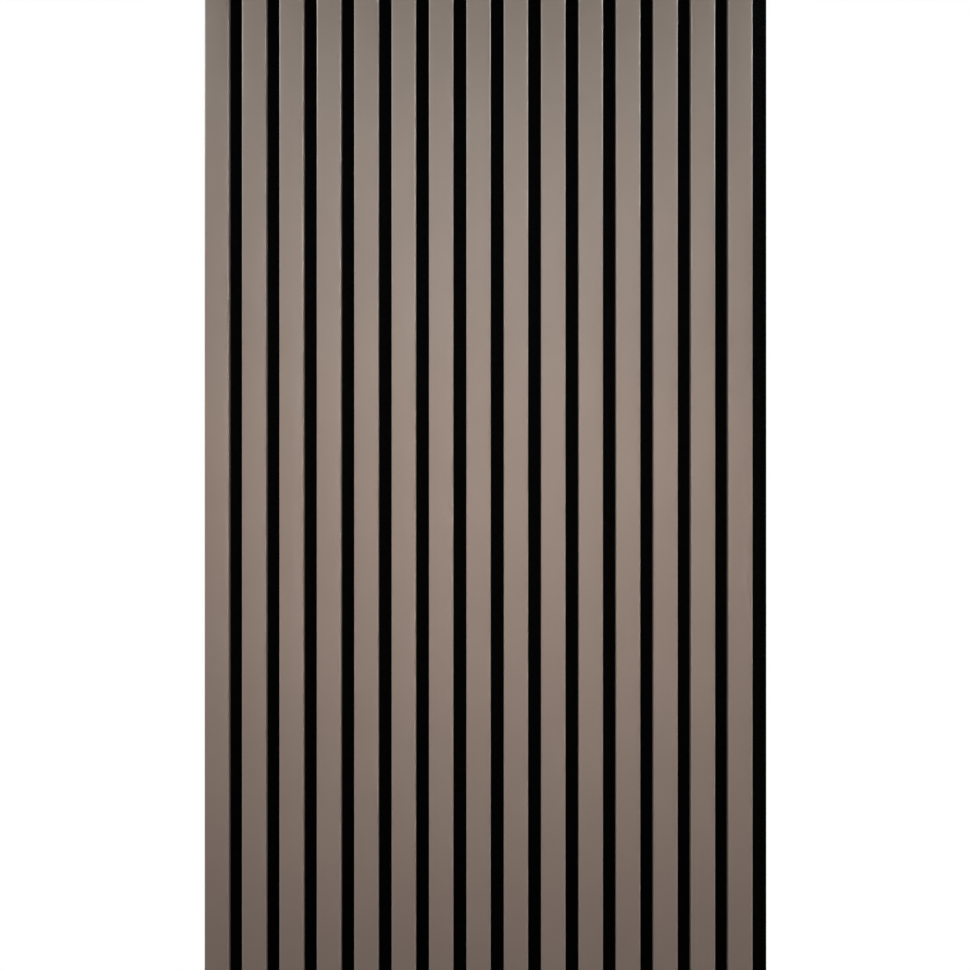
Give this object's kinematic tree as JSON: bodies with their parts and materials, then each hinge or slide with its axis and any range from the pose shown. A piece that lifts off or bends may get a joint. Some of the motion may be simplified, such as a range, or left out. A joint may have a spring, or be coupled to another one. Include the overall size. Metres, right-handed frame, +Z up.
{
  "type": "acoustic slat wall panel",
  "caption": "Tall flat wall panel of parallel taupe slats fixed with even grooves to a backing sheet of black felt, which stands past the last slat to meet the next panel.",
  "frame": {"origin": "middle of the felt's back face, which lies on the wall", "axes": "+Z up along the slats, +Y into the wall, so that the slats face -Y; +X to the right seen from the front, towards the bare strip of felt"},
  "size_m": [0.603, 0.021, 2.4],
  "materials": {
    "taupe_foil_mdf": "smooth matt taupe foil over fibreboard",
    "black_felt": "needled polyester felt",
    "galvanised_wire": "bright zinc"
  },
  "bodies": {
    "root": {"slat_01": "taupe_foil_mdf", "slat_02": "taupe_foil_mdf", "slat_03": "taupe_foil_mdf", "slat_04": "taupe_foil_mdf", "slat_05": "taupe_foil_mdf", "slat_06": "taupe_foil_mdf", "slat_07": "taupe_foil_mdf", "slat_08": "taupe_foil_mdf", "slat_09": "taupe_foil_mdf", "slat_10": "taupe_foil_mdf", "slat_11": "taupe_foil_mdf", "slat_12": "taupe_foil_mdf", "slat_13": "taupe_foil_mdf", "slat_14": "taupe_foil_mdf", "slat_15": "taupe_foil_mdf", "felt_backing": "black_felt", "staples": "galvanised_wire"}
  },
  "joints": []
}
